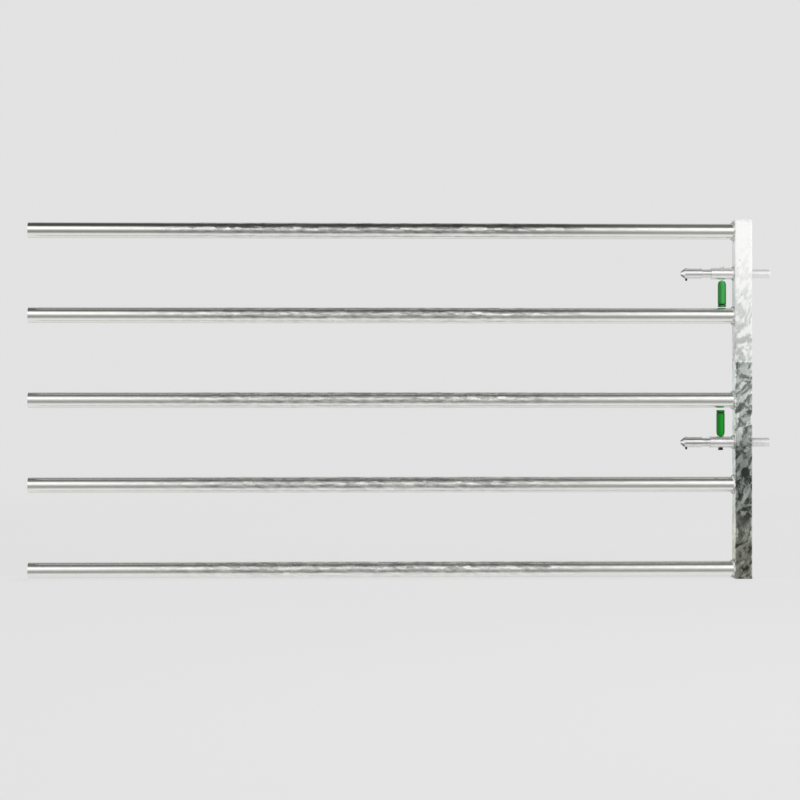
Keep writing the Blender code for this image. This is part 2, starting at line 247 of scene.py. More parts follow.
class Finishes(bpy.types.PropertyGroup):
    """Colours and grain of the finishes"""

    zinc_light: colour("Light zinc", "Bright crystals of the galvanising", (0.93, 0.935, 0.925))
    zinc_warm: colour("Warm zinc", "Bright crystals on the rails", (0.93, 0.93, 0.895))
    # The upright is painted from this dull zinc at its middle to light zinc at its top, as painted
    # light
    zinc_dull: colour("Dull zinc", "Bloom half way up the upright", (0.45, 0.475, 0.46))
    zinc_grey: colour("Grey zinc", "Light crystals low on the upright", (0.86, 0.93, 0.88))
    zinc_soiled: colour("Soiled zinc", "Light crystals at the upright's foot", (0.89, 0.90, 0.75))
    zinc_dark: colour("Dark zinc", "Dark crystals of the galvanising", (0.050, 0.058, 0.052))
    zinc_flake: length("Zinc flake", "Size of the crystals on the upright", 0.017)
    tube_flake: length("Tube flake", "Size of the crystals on the rails", 0.007)
    weld_zinc: colour("Weld zinc", "Zinc over the welds", (0.46, 0.47, 0.46))
    bright_zinc: colour("Bright zinc", "Plating of the bolts", (0.88, 0.89, 0.88))
    black_steel: colour("Black steel", "Stem and pins", (0.020, 0.019, 0.020))
    rubbed_steel: colour("Rubbed steel", "Black steel where it is rubbed", (0.16, 0.155, 0.15))
    green_plastic: colour("Green plastic", "Moulded grips", (0.003, 0.27, 0.012))
    # This paler green is painted light on the upper grip, and the colour of scuffs
    faded_plastic: colour("Faded plastic", "The upper grip's paler green", (0.055, 0.36, 0.085))


class Studio(bpy.types.PropertyGroup):
    """Camera, light and ground"""

    background: colour("Background", "Floor and backdrop", (0.765, 0.765, 0.765))
    key_power: power("Key power", "Power of the main lamp", 56)
    lens: focal_length("Lens", "Focal length", 102.05)
    facets: facet_count("Floor facets", "Edges round the floor", 96)


def settings():
    """The four groups of settings."""
    scene = bpy.context.scene
    return scene.gate_frame_sizes, scene.gate_latch_sizes, scene.gate_finishes, scene.gate_studio


def sum_node(operation, swapped=False):
    """A Python operator that adds a Math node."""

    def method(value, *others):
        terms = (value, *others)
        return value.recipe.maths(operation, *(terms[::-1] if swapped else terms))

    return method


class Value:
    """A node's output that can stand in a sum; each sum adds a Math node."""

    def __init__(self, recipe, socket):
        self.recipe = recipe
        self.socket = socket

    def __getitem__(self, output):
        """Another output of the same node."""
        return Value(self.recipe, self.socket.node.outputs[output])

    __add__ = sum_node("ADD")
    __radd__ = sum_node("ADD", swapped=True)
    __sub__ = sum_node("SUBTRACT")
    __rsub__ = sum_node("SUBTRACT", swapped=True)
    __mul__ = sum_node("MULTIPLY")
    __rmul__ = sum_node("MULTIPLY", swapped=True)
    __truediv__ = sum_node("DIVIDE")
    __rtruediv__ = sum_node("DIVIDE", swapped=True)
    __gt__ = sum_node("GREATER_THAN")
    __lt__ = sum_node("LESS_THAN")
    __abs__ = sum_node("ABSOLUTE")


class Recipe:
    """Adds nodes to a tree of materials, of light or of geometry."""

    def __init__(self, tree):
        self.tree = tree

    def node(self, kind, options=None, values=None, output=0):
        """A node with its options, then the values or links of its sockets."""
        node = self.tree.nodes.new(kind)
        for name, value in (options or {}).items():
            if name == "stops":
                self.set_stops(node.color_ramp, value)
            else:
                setattr(node, name, value)
        for name, value in (values or {}).items():
            if isinstance(value, Value):
                self.tree.links.new(value.socket, node.inputs[name])
            else:
                node.inputs[name].default_value = value
        return Value(self, node.outputs[output]) if node.outputs else node

    def set_stops(self, ramp, stops):
        """Fill a ramp with (place, grey) stops."""
        while len(ramp.elements) < len(stops):
            ramp.elements.new(1)
        for element, (place, grey) in zip(ramp.elements, stops):
            element.position = place
            element.color = (grey, grey, grey, 1)

    def maths(self, operation, *terms):
        """A Math node."""
        return self.node("ShaderNodeMath", {"operation": operation}, dict(enumerate(terms)))

    def vector(self, operation, *terms):
        """A Vector Math node."""
        return self.node("ShaderNodeVectorMath", {"operation": operation}, dict(enumerate(terms)))

    def parts(self, vector):
        """The three numbers of a vector."""
        split = self.node("ShaderNodeSeparateXYZ", values={0: vector})
        return split, split["Y"], split["Z"]

    def joined(self, x, y, z):
        """A vector of three numbers."""
        return self.node("ShaderNodeCombineXYZ", values={"X": x, "Y": y, "Z": z})

    def smooth(self, value, start, end):
        """0 before start, 1 after end, smooth between."""
        limits = {"Value": value, "From Min": start, "From Max": end}
        return self.node("ShaderNodeMapRange", {"interpolation_type": "SMOOTHSTEP"}, limits)

    def blend(self, factor, first, second):
        """A mix of two colours, given as linked colours or as three numbers."""
        first, second = (c if isinstance(c, Value) else (*c, 1) for c in (first, second))
        options = {"data_type": "RGBA", "clamp_factor": True}
        return self.node("ShaderNodeMix", options, {0: factor, 6: first, 7: second}, output=2)

    def noise(self, place, scale, detail=2, roughness=0.5, output=0):
        """Smooth noise."""
        values = {"Vector": place, "Scale": scale, "Detail": detail, "Roughness": roughness}
        return self.node("ShaderNodeTexNoise", values=values, output=output)

    def patches(self, place, scale, start, end, *details):
        """Noise sharpened into patches with soft edges."""
        return self.smooth(self.noise(place, scale, *details), start, end)

    def place(self):
        """Where a point lies on the gate."""
        return self.node("ShaderNodeTexCoord", output="Object")

    def normal(self):
        """The way that the surface faces."""
        return self.node("ShaderNodeNewGeometry", output="Normal")

    def bumped(self, height, depth, normal=None):
        """A normal with the relief of a 0 to 1 height."""
        values = {"Height": height, "Distance": depth}
        if normal:
            values["Normal"] = normal
        return self.node("ShaderNodeBump", values=values)

    def surface(self, tint, metallic, roughness, normal, specular=0.5):
        """The shader of a solid surface."""
        values = {"Base Color": tint, "Metallic": metallic, "Roughness": roughness}
        values.update({"Normal": normal, "Specular IOR Level": specular})
        return self.node("ShaderNodeBsdfPrincipled", values=values)


def new_material(name, build, *details):
    """A material whose surface is the shader that build returns, made at its first use."""
    found = bpy.data.materials.get(name)
    if found:
        return found
    material = bpy.data.materials.new(name)
    material.use_nodes = True
    material.node_tree.nodes.clear()
    recipe = Recipe(material.node_tree)
    recipe.node("ShaderNodeOutputMaterial", values={"Surface": build(recipe, *details)})
    return material


def dimmed(tint, level):
    """A darker shade of a colour."""
    return tuple(level * part for part in tint)


def upper_latch(recipe, z):
    """1 on the upper latch, 0 on the lower one."""
    return recipe.smooth(z, 0.5, 0.7)


def tilted(recipe, amount, cells):
    """The surface's normal, tipped in each crystal by its own random amount."""
    normal = recipe.normal()
    centred = recipe.vector("SUBTRACT", cells, (0.5, 0.5, 0.5))
    tipped = recipe.vector("MULTIPLY_ADD", centred, recipe.joined(amount, amount, amount), normal)
    return recipe.vector("NORMALIZE", tipped)


def zinc_crystals(recipe, place, flake, stretch, swirling):
    """Random colours of ragged crystals that lie in swirls, and soft clouds over them."""
    swirl = recipe.noise(place, 0.2 / flake, 1, output="Color")
    ragged = recipe.noise(place, 1.2 / flake, 4, output="Color")
    bent = recipe.vector("MULTIPLY_ADD", swirl, (swirling * flake,) * 3, place)
    bent = recipe.vector("MULTIPLY_ADD", ragged, (0.8 * flake,) * 3, bent)
    turn = [0.1 * swirling * part for part in (0.4, 1, 0.2)]
    mapping = {"Vector": bent, "Rotation": turn, "Scale": stretch}
    laid = recipe.node("ShaderNodeMapping", {"vector_type": "TEXTURE"}, mapping)
    crystals = {"Vector": laid, "Scale": 1 / flake}
    cells = recipe.node("ShaderNodeTexVoronoi", values=crystals, output="Color")
    return cells, recipe.patches(laid, 0.9 / flake, 0.28, 0.72, 4, 0.55)


def galvanised(recipe, finishes, flake, stretch, swirling, character):
    """Hot-dip zinc: crystals that each catch the light their own way, under a dull bloom."""
    place = recipe.place()
    cells, clouds = zinc_crystals(recipe, place, flake, stretch, swirling)
    cell_grey, cell_rough, _ = recipe.parts(cells)
    bloom = recipe.patches(place, 9, 0.42, 0.68, 4)
    grain = recipe.noise(place, 900)
    bright = 0.3 * cell_grey + 0.7 * clouds
    tint, unrest, metallic, roughness = character(recipe, finishes, place, bright)
    normal = tilted(recipe, 0.14 * unrest, cells)
    normal = recipe.bumped(unrest * clouds, 0.0001, normal)
    normal = recipe.bumped(grain, 0.00001, normal)
    roughness = roughness + unrest * (0.10 * cell_rough + 0.08 * bloom)
    return recipe.surface(tint, metallic, roughness, normal)


# Each character gives the zinc's tint, its crystals' unrest, its metallic share and its roughness
def rail_character(recipe, finishes, place, bright):
    """Rails: calm and bright at both ends, with a duller speckled stretch between whose darker tint is
    partly the zinc's own and partly painted dimmer reflection.
    """
    x, _, z = recipe.parts(place)
    _, _, upwards = recipe.parts(recipe.normal())
    underside = recipe.smooth(upwards, -0.2, -0.55)
    # Partly painted reflection: the middle stretch is darker and more speckled, less so on the
    # underside
    speckle_and_painted_dimming = recipe.smooth(x, -1.80, -1.35) * recipe.smooth(x, -0.35, -0.80)
    speckle_and_painted_dimming = speckle_and_painted_dimming * (1 - 0.7 * underside)
    level = 0.94 - 0.12 * speckle_and_painted_dimming + (0.06 + 0.75 * speckle_and_painted_dimming) * (bright - 0.5)
    tint = recipe.blend(level, finishes.zinc_dark, finishes.zinc_warm)
    lower = recipe.smooth(z, 0.98, 0.6)
    right = recipe.smooth(x, -0.6, -0.1)
    patina = 0.11 * (lower + right - lower * right)
    return tint, 0.06 + 0.64 * speckle_and_painted_dimming, 1 - patina, 0.12 + 0.06 * lower


# Heights on the upright round which its lower half is paler, and by how much
PALE_BELTS = ((0.53, 0.14), (0.14, 0.1))


def upright_character(recipe, finishes, place, bright):
    """Upright: white above its middle, darker streaked crystals below it; the split, the brightening
    towards the top, the darker foot and the lighter inner face are painted light and shade.
    """
    _, _, z = recipe.parts(place)
    towards_right, _, _ = recipe.parts(recipe.normal())
    # Painted light and shade: above about z 0.616 the zinc is painted bright, below it dark, with a
    # ragged edge
    upper = recipe.smooth(z + 0.004 * (bright - 0.5), 0.615, 0.617)
    # Painted light, brighter towards the top
    painted_top_light = recipe.smooth(z, 0.50, 1.01)
    # Painted shade, darker towards the foot
    foot = recipe.smooth(z, 0.42, 0.375)
    # Painted light on the inner face, the side that faces -X
    painted_inner_face_light = recipe.smooth(towards_right, -0.7, -0.95)
    streak = recipe.smooth(bright, 0.2, 0.8) - 0.5
    specks = recipe.patches(place, 90, 0.60 + 0.10 * painted_top_light, 0.72)
    crystals_and_painted_light_above = 0.22 + 0.80 * painted_top_light + (1.05 - 0.95 * painted_top_light) * streak - 0.7 * specks
    crystals_and_painted_light_above = crystals_and_painted_light_above + 0.2 * painted_inner_face_light
    shadow = recipe.smooth(z, 0.596, 0.614)
    crystals_and_painted_shade_below = 0.49 - 0.27 * foot + 0.5 * painted_inner_face_light + (0.75 - 0.35 * foot) * streak - 0.2 * shadow
    for height, more in PALE_BELTS:
        crystals_and_painted_shade_below = crystals_and_painted_shade_below + more * recipe.smooth(abs(z - height), 0.05, 0.01)
    soiled = recipe.smooth(z, 0.32, 0.04)
    light = recipe.blend(soiled, finishes.zinc_grey, finishes.zinc_soiled)
    above = recipe.blend(crystals_and_painted_light_above, finishes.zinc_dull, finishes.zinc_light)
    below = recipe.blend(crystals_and_painted_shade_below, finishes.zinc_dark, light)
    unrest = 0.65 - upper * (0.4 + 0.2 * painted_top_light)
    return recipe.blend(upper, below, above), unrest, 1 - 0.7 * upper, 0.18 + 0.2 * upper


def even_character(recipe, finishes, place, bright):
    """Small parts: even zinc, paler on the upper latch as painted light."""
    _, _, z = recipe.parts(place)
    # Painted light: the upper latch's zinc is paler than the lower one's
    pale = upper_latch(recipe, z)
    level = 0.92 + 0.08 * pale + 0.15 * (bright - 0.5)
    tint = recipe.blend(level, finishes.zinc_dark, finishes.zinc_light)
    return tint, 0.25, 0.8 - 0.08 * pale, 0.2


def weld_finish(recipe, finishes):
    """Zinc over a weld: duller, pitted and lumpy."""
    place = recipe.place()
    lumps = recipe.noise(place, 450, 3)
    stain = recipe.patches(place, 120, 0.35, 0.7)
    tint = recipe.blend(stain, finishes.weld_zinc, finishes.zinc_light)
    return recipe.surface(tint, 0.5, 0.34 + 0.2 * lumps, recipe.bumped(lumps, 0.00025))


def bright_finish(recipe, finishes):
    """Plated round bar: turning marks, scratches along its travel, a nose dulled by the post, and
    painted light that keeps the upper latch's bars paler.
    """
    place = recipe.place()
    x, y, z = recipe.parts(place)
    scratches = recipe.noise(recipe.joined(6 * x, 260 * y, 260 * z), 6, 3, 0.7)
    rings = recipe.noise(recipe.joined(1500 * x, 4 * y, 4 * z), 1)
    bloom = recipe.patches(place, 60, 0.4, 0.7, 3)
    dulled = recipe.smooth(x, -0.03, 0.03)
    # Painted light: the upper latch is kept paler, without the darker bloom and a little less metallic
    pale = upper_latch(recipe, z)
    zinc = finishes.bright_zinc
    tint = recipe.blend(0.4 * bloom * (1 - pale), zinc, dimmed(zinc, 0.62))
    metallic = 1 - 0.4 * dulled - 0.15 * pale * (1 - 0.5 * dulled)
    roughness = 0.14 + 0.28 * dulled + 0.10 * scratches + 0.08 * bloom
    normal = recipe.bumped(scratches, 0.00003, recipe.bumped(rings, 0.00002))
    return recipe.surface(tint, metallic, roughness, normal)


def black_finish(recipe, finishes):
    """Blackened steel, rubbed a little on its high places; on the lower stem its black is painted
    shade.
    """
    place = recipe.place()
    worn = recipe.patches(place, 300, 0.58, 0.74, 4, 0.65)
    tint = recipe.blend(0.6 * worn, finishes.black_steel, finishes.rubbed_steel)
    normal = recipe.bumped(recipe.noise(place, 1200), 0.00003)
    return recipe.surface(tint, 0.85, 0.42 - 0.12 * worn, normal)


def plastic_finish(recipe, finishes, grooves):
    """Moulded plastic: fine grain and random fading, painted light that makes the upper grip paler and
    lights the grip's front and right while its left is darker, and painted shade in its grooves.
    """
    place = recipe.place()
    _, _, z = recipe.parts(place)
    towards_right, _, _ = recipe.parts(recipe.normal())
    fade = recipe.patches(place, 45, 0.35, 0.75, 3)
    scuff = recipe.patches(place, 420, 0.60, 0.70, 4, 0.7)
    grain = recipe.node("ShaderNodeTexVoronoi", values={"Vector": place, "Scale": 1400})
    # Painted light and shade: the grip is lit facing front and a little right, painted darker round to
    # its left and far right
    painted_lit_side = recipe.smooth(towards_right, -0.62, 0) * recipe.smooth(towards_right, 0.85, 0.25)
    # Painted light: the upper grip is paler than the lower one
    painted_upper_grip_light = upper_latch(recipe, z) * (0.8 + 0.2 * fade)
    tint = recipe.blend(painted_upper_grip_light, finishes.green_plastic, finishes.faded_plastic)
    tint = recipe.blend(0.35 + 0.65 * painted_lit_side, dimmed(finishes.green_plastic, 0.42), tint)
    tint = recipe.blend(0.15 * scuff, tint, finishes.faded_plastic)
    for groove in grooves:
        away = abs(z - groove)
        # Painted shade in and round each groove, darkening towards black
        painted_groove_shade = 0.5 * recipe.smooth(away, 0.0024, 0.0012) + 0.4 * recipe.smooth(away, 0.0085, 0.002)
        tint = recipe.blend(painted_groove_shade, tint, finishes.black_steel)
    roughness = 0.18 + 0.16 * scuff + 0.06 * fade
    return recipe.surface(tint, 0, roughness, recipe.bumped(grain, 0.00004), specular=0.2)


def finish(name):
    """One of the gate's finishes by name."""
    _, latch, finishes, _ = settings()
    flake = finishes.zinc_flake
    tube = finishes.tube_flake
    from_end = latch.groove_inset + latch.groove_width / 2
    grooves = [tip(f"{prefix}_handle_grip", side) - side * from_end for prefix, side in LATCHES]
    builds = {
        "galvanised_upright": (galvanised, finishes, flake, (0.75, 1, 1.35), 4, upright_character),
        "galvanised_rail": (galvanised, finishes, tube, (4.0, 1, 1), 0.5, rail_character),
        "galvanised_sleeve": (galvanised, finishes, tube, (1, 1, 1), 0.5, even_character),
        "zinc_on_weld": (weld_finish, finishes),
        "bright_zinc_bar": (bright_finish, finishes),
        "blackened_steel_and_painted_shade": (black_finish, finishes),
        "green_moulding": (plastic_finish, finishes, grooves),
    }
    return new_material(name, *builds[name])


def mesh_object(name, made):
    """Put a worked-out mesh in the scene as a named object at the origin."""
    mesh = bpy.data.meshes.new(name)
    made.to_mesh(mesh)
    made.free()
    obj = bpy.data.objects.new(name, mesh)
    bpy.context.scene.collection.objects.link(obj)
    return obj


def baked(obj):
    """Swap an object's mesh for what its modifiers make of it."""
    bpy.context.view_layer.update()
    evaluated = obj.evaluated_get(bpy.context.evaluated_depsgraph_get())
    mesh = bpy.data.meshes.new_from_object(evaluated)
    obj.modifiers.clear()
    old = obj.data
    obj.data = mesh
    bpy.data.meshes.remove(old)
    mesh.name = obj.name
    return obj


def modified(obj, kind, **options):
    """Give an object a modifier."""
    modifier = obj.modifiers.new(kind, kind)
    for name, value in options.items():
        setattr(modifier, name, value)
    return obj


def shaded(obj):
    """Smooth shading with sharp edges, and flat faces kept flat."""
    obj.data.shade_smooth()
    obj.data.set_sharp_from_angle(angle=SHARP_ANGLE)
    return baked(modified(obj, "WEIGHTED_NORMAL", keep_sharp=True))


def softened(obj, width):
    """Round a piece's cut edges."""
    corners = {"limit_method": "ANGLE", "angle_limit": math.radians(50)}
    return baked(modified(obj, "BEVEL", width=width, segments=2, **corners))


def drilled(obj, cutters):
    """Cut a piece with solid cutters and remove them."""
    for cutter in cutters:
        modified(obj, "BOOLEAN", solver="EXACT", object=cutter)
    baked(obj)
    for cutter in cutters:
        bpy.data.meshes.remove(cutter.data)
    return obj


def dressed(obj, body, finish_name, slot, *nodes):
    """Give a finished piece its finish, its body and the solids that it stands for."""
    obj.data.materials.clear()
    obj.data.materials.append(finish(finish_name))
    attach(obj, body)
    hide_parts(*nodes)


def shell(name, loops, closed=False, lids=False, laid=UPWARD):
    """Faces through loops of points that close on themselves, or end in lids or points."""
    made = bmesh.new()
    rings = [[made.verts.new(point) for point in loop] for loop in loops]
    for here, there in zip(rings, rings[1:] + rings[:1] if closed else rings[1:]):
        for i in range(len(here)):
            j = (i + 1) % len(here)
            made.faces.new((here[i], here[j], there[j], there[i]))
    if lids:
        made.faces.new(rings[0])
        made.faces.new(rings[-1])
    bmesh.ops.remove_doubles(made, verts=made.verts, dist=MERGE_GAP)
    bmesh.ops.recalc_face_normals(made, faces=made.faces)
    made.transform(laid)
    return mesh_object(name, made)


def outward(obj, axes=()):
    """Close a shell and turn its faces out, away from the axes at some heights if it is open."""
    made = bmesh.new()
    made.from_mesh(obj.data)
    bmesh.ops.remove_doubles(made, verts=made.verts, dist=MERGE_GAP)
    bmesh.ops.recalc_face_normals(made, faces=made.faces)
    if axes:
        for face in made.faces:
            centre = face.calc_center_median()
            axis_z = min(axes, key=lambda height: abs(height - centre.z))
            if face.normal.dot(Vector((0, centre.y, centre.z - axis_z))) < 0:
                face.normal_flip()
    made.to_mesh(obj.data)
    made.free()
    return obj


def arc(centre, radius, start, end, steps):
    """Points of a flat arc, in degrees."""
    angles = [math.radians(start + (end - start) * i / steps) for i in range(steps + 1)]
    return [(centre[0] + radius * math.cos(a), centre[1] + radius * math.sin(a)) for a in angles]


def eased(points, radius, steps=3, closed=False):
    """Round the corners of an outline; an open one keeps its two ends."""
    count = len(points)
    made = [] if closed else [points[0]]
    for i in range(count) if closed else range(1, count - 1):
        corner = Vector(points[i])
        to_last = Vector(points[i - 1]) - corner
        to_next = Vector(points[(i + 1) % count]) - corner
        reach = min(radius, 0.45 * to_last.length, 0.45 * to_next.length)
        start = corner + reach * to_last.normalized()
        end = corner + reach * to_next.normalized()
        for step in range(steps + 1):
            t = step / steps
            made.append(tuple((1 - t) ** 2 * start + 2 * t * (1 - t) * corner + t * t * end))
    return made if closed else made + [points[-1]]


def turned(name, section, facets, turn, place, closed=False, shape=None):
    """A turned piece: (radius, height) points spun about +Z, then laid along a direction."""
    loops = []
    for radius, height in section:
        loop = []
        for angle in (math.tau * facet / facets for facet in range(facets)):
            out, up = shape(angle, radius, height) if shape else (radius, height)
            loop.append((out * math.cos(angle), out * math.sin(angle), up))
        loops.append(loop)
    return shell(name, loops, closed, laid=Matrix.Translation(place) @ turn)


def bolt_piece(name, section, node, closed=False):
    """A piece turned about a bolt's axis, from the right end of its solid to the left."""
    place = (high(node, X), 0, middle(node, Z))
    return turned(name, section, BAR_FACETS, TO_LEFT, place, closed)


def bar_section(radius, half):
    """The section of a plain round bar about its middle."""
    return [(0, half), (radius, half), (radius, -half), (0, -half)]


def drill(diameter, depth, turn, place, facets=PIN_FACETS):
    """A round cutter centred on a place."""
    return turned("drill", bar_section(diameter / 2, depth / 2), facets, turn, place)


def pin_drill(pin, depth, turn, axis_z, size=None):
    """A cutter for the hole of a pin, across a bar whose axis is at a height."""
    place = (middle(pin, X), 0, axis_z)
    return drill((size or span(pin, X)) + DRILL_PLAY, depth, turn, place)


def prism(name, outer, bottom, top, inner=None):
    """A straight plate between two heights, or a tube where it has an inner outline."""
    rims = [(outer, bottom), (outer, top)]
    if inner:
        rims += [(inner, top), (inner, bottom)]
    loops = [[(x, y, z) for x, y in outline] for outline, z in rims]
    return shell(name, loops, closed=bool(inner), lids=not inner)


def rounded_square(side, corner):
    """The outline of a square with round corners."""
    reach = side / 2 - corner
    points = []
    for quarter, (x, y) in enumerate(((1, 1), (-1, 1), (-1, -1), (1, -1))):
        points += arc((x * reach, y * reach), corner, 90 * quarter, 90 * quarter + 90, CORNER_FACETS)
    return points


class ShapeTree(Recipe):
    """A Geometry Nodes tree with named inputs, whose shape repeats at even heights."""

    def __init__(self, name, levels, inputs):
        super().__init__(bpy.data.node_groups.new(name, "GeometryNodeTree"))
        first, second = sorted(levels)[:2]
        self.name = name
        self.values = {"Height": first, "Pitch": second - first, "Count": len(levels), **inputs}
        for label, value in self.values.items():
            kind = "NodeSocketInt" if isinstance(value, int) else "NodeSocketFloat"
            self.tree.interface.new_socket(label, in_out="INPUT", socket_type=kind)
        self.tree.interface.new_socket("Geometry", in_out="OUTPUT", socket_type="NodeSocketGeometry")
        self.given = self.node("NodeGroupInput")
        self.own = [self.given[label] for label in inputs]

    def place(self):
        """Where a point lies."""
        return self.node("GeometryNodeInputPosition")

    def normal(self):
        """The way that a point faces."""
        return self.node("GeometryNodeInputNormal")

    def circle(self, angle):
        """The cosine and the sine of an angle."""
        return self.maths("COSINE", angle), self.maths("SINE", angle)

    def between(self, value, least, most):
        """A number kept between two limits."""
        return self.node("ShaderNodeClamp", values={"Value": value, "Min": least, "Max": most})

    def passed(self, kind, geometry, **values):
        """A geometry passed through a node."""
        return self.node(kind, values={"Geometry": geometry, **values})

    def sheet(self, around, across):
        """A flat grid, with its two shares: round the piece and along its section."""
        sizes = {"Size X": 1, "Size Y": 1, "Vertices X": around + 1, "Vertices Y": across + 1}
        x, y, _ = self.parts(self.place())
        return self.node("GeometryNodeMeshGrid", values=sizes), x + 0.5, y + 0.5

    def grown(self, shape, depth, material):
        """Closed copies of a shape, their points pushed out by a depth, made a plain mesh."""
        start, offset = (self.joined(0, 0, self.given[label]) for label in ("Height", "Pitch"))
        line = {"Count": self.given["Count"], "Start Location": start, "Offset": offset}
        points = self.node("GeometryNodeMeshLine", values=line)
        whole = self.node("GeometryNodeInstanceOnPoints", values={"Points": points, "Instance": shape})
        whole = self.passed("GeometryNodeRealizeInstances", whole)
        whole = self.passed("GeometryNodeMergeByDistance", whole, Distance=MERGE_GAP)
        whole = self.passed("GeometryNodeSetShadeSmooth", whole)
        push = {0: self.normal(), "Scale": depth}
        push = self.node("ShaderNodeVectorMath", {"operation": "SCALE"}, push)
        whole = self.passed("GeometryNodeSetPosition", whole, Offset=push)
        whole = self.passed("GeometryNodeRealizeInstances", whole)
        whole = self.passed("GeometryNodeSetMaterial", whole, Material=material)
        self.passed("NodeGroupOutput", whole)
        obj = mesh_object(self.name, bmesh.new())
        modifier = obj.modifiers.new("shape", "NODES")
        modifier.node_group = self.tree
        for item in self.tree.interface.items_tree:
            if item.in_out == "INPUT":
                modifier[item.identifier] = self.values[item.name]
        return baked(obj)


def rail_tubes(name, frame):
    """Open tubes at the rails' heights, their zinc a little wavy."""
    inputs = {
        "Start": low("rail_1", X),
        "End": high("rail_1", X),
        "Radius": frame.rail_diameter / 2,
        "Waviness": frame.rail_waviness,
    }
    tree = ShapeTree(name, heights(RAILS), inputs)
    start, end, radius, waviness = tree.own
    grid, around, along = tree.sheet(TUBE_FACETS, RAIL_STEPS)
    across, up = tree.circle(math.tau * around)
    place = tree.joined(start + along * (end - start), radius * across, radius * up)
    tube = tree.passed("GeometryNodeSetPosition", grid, Position=place)
    depth = waviness * (tree.noise(tree.place(), 14) - 1)
    return outward(tree.grown(tube, depth, finish("galvanised_rail")), heights(RAILS))


def weld_beads(name, frame, tubes, radius, leg, ripples):
    """Fillet welds round tubes that are butted to the upright, rippled and a little uneven."""
    inputs = {
        "Radius": radius - WELD_BITE,
        "Leg": leg,
        "Run": frame.weld_run,
        "Face": high("rail_weld_1", X) + WELD_BITE,
        "Ripples": ripples,
        "Ripple": frame.weld_ripple,
        "Half Width": span("upright", Y) / 2 - WELD_BITE,
        "Corner": frame.upright_corner,
    }
    tree = ShapeTree(name, heights(tubes), inputs)
    radius, leg, run, face, ripples, ripple, limit, corner = tree.own
    grid, around, across = tree.sheet(WELD_FACETS, WELD_STEPS)
    angle = math.tau * around
    side, up = tree.circle(angle)
    # The first and the last row lie in the corner of tube and upright, and close the bead
    row = WELD_STEPS * across
    shows = (row > 0.5) * (row < WELD_STEPS - 0.5)
    outwards, along = tree.circle(0.5 * math.pi * tree.between((row - 1) / (WELD_STEPS - 2), 0, 1))
    full = 1 - FILLET_HOLLOW + FILLET_HOLLOW / (outwards + along)
    wave = abs(tree.maths("SINE", 0.5 * ripples * angle)) - RIPPLE_MIDDLE
    size = leg * (1 - SIDE_THINNING * side * side) * (1 + ripple * wave) * shows * full
    out = radius + size * outwards
    y = tree.between(out * side, -1 * limit, limit)
    inset = tree.maths("MAXIMUM", abs(y) - (limit - corner), 0)
    fall = corner - tree.maths("SQRT", corner * corner - inset * inset)
    x = face - run * size * along + SIDE_ROUNDING * fall * (1 - along)
    place = tree.joined(x, y, out * up)
    bead = tree.passed("GeometryNodeSetPosition", grid, Position=place)
    depth = LUMP_DEPTH * (tree.noise(tree.place(), 160) - LUMP_MIDDLE)
    return outward(tree.grown(bead, depth, finish("zinc_on_weld")))


def cap_seams(name, frame):
    """The weld that closes each end plate, all round the upright."""
    inputs = {
        "Side": span("upright", X) - 2 * SEAM_INSET,
        "Corner": frame.upright_corner,
        "Radius": frame.cap_weld_radius,
        "Ripple": frame.weld_ripple,
    }
    bottom = (high("bottom_cap", Z) + low("upright", Z)) / 2
    top = (high("upright", Z) + low("top_cap", Z)) / 2
    tree = ShapeTree(name, [bottom, top], inputs)
    side, corner, radius, ripple = tree.own
    square = {"Width": side, "Height": side}
    square = tree.node("GeometryNodeCurvePrimitiveQuadrilateral", values=square)
    fillet = {"Curve": square, "Count": CORNER_FACETS, "Radius": corner}
    path = tree.node("GeometryNodeFilletCurve", {"mode": "POLY"}, fillet)
    path = tree.node("GeometryNodeResampleCurve", values={"Curve": path, "Count": SEAM_STEPS})
    ring = {"Resolution": SEAM_FACETS, "Radius": radius}
    ring = tree.node("GeometryNodeCurvePrimitiveCircle", values=ring)
    bead = tree.node("GeometryNodeCurveToMesh", values={"Curve": path, "Profile Curve": ring})
    x, y, _ = tree.parts(tree.place())
    wave = tree.maths("SINE", SEAM_RIPPLES * x) * tree.maths("SINE", SEAM_RIPPLES * y)
    lumps = tree.noise(tree.place(), 220) - LUMP_MIDDLE
    depth = radius * (SEAM_LUMPS * lumps + ripple * wave)
    return outward(tree.grown(bead, depth, finish("galvanised_upright")))


def hex_head(name, latch, turn, place):
    """A hexagon head with its outer corners turned off, its flat side at height 0."""
    flat_radius = latch.hex_flats / 2
    rim = HEAD_RIM * flat_radius
    height = latch.hex_height

    def six_sided(angle, radius, up):
        if radius < flat_radius:
            return radius, up
        from_flat = (angle + math.pi / 6) % (math.pi / 3) - math.pi / 6
        corner = flat_radius / math.cos(from_flat)
        return corner, up - HEAD_FALL * (corner - rim) if up > 0 else up

    section = [(0, height), (rim, height), (latch.hex_flats, height), (latch.hex_flats, 0), (0, 0)]
    return turned(name, section, HEAD_FACETS, turn, place, shape=six_sided)


def threaded(name, latch, shank_length, plain_length, turn, place):
    """A round shank that is plain at its foot and threaded above."""
    radius = latch.stem_diameter / 2
    pitch = latch.thread_pitch
    thread_length = shank_length - plain_length
    steps = round(THREAD_STEPS * thread_length / pitch)
    section = [(0, shank_length)]
    section += [(radius, shank_length - thread_length * i / steps) for i in range(steps + 1)]
    section += [(radius, 0), (0, 0)]
    tip_start = shank_length - latch.pin_ease * latch.stem_diameter

    def wound(angle, out, up):
        if out == 0 or up <= plain_length:
            return out, up
        turn_share = (up / pitch - angle / math.tau) % 1
        cut = latch.thread_depth * (1 - abs(2 * turn_share - 1))
        fade = min(1, (up - plain_length) / pitch)
        return out - cut * fade - max(0, up - tip_start), up

    return turned(name, section, PIN_FACETS, turn, place, shape=wound)


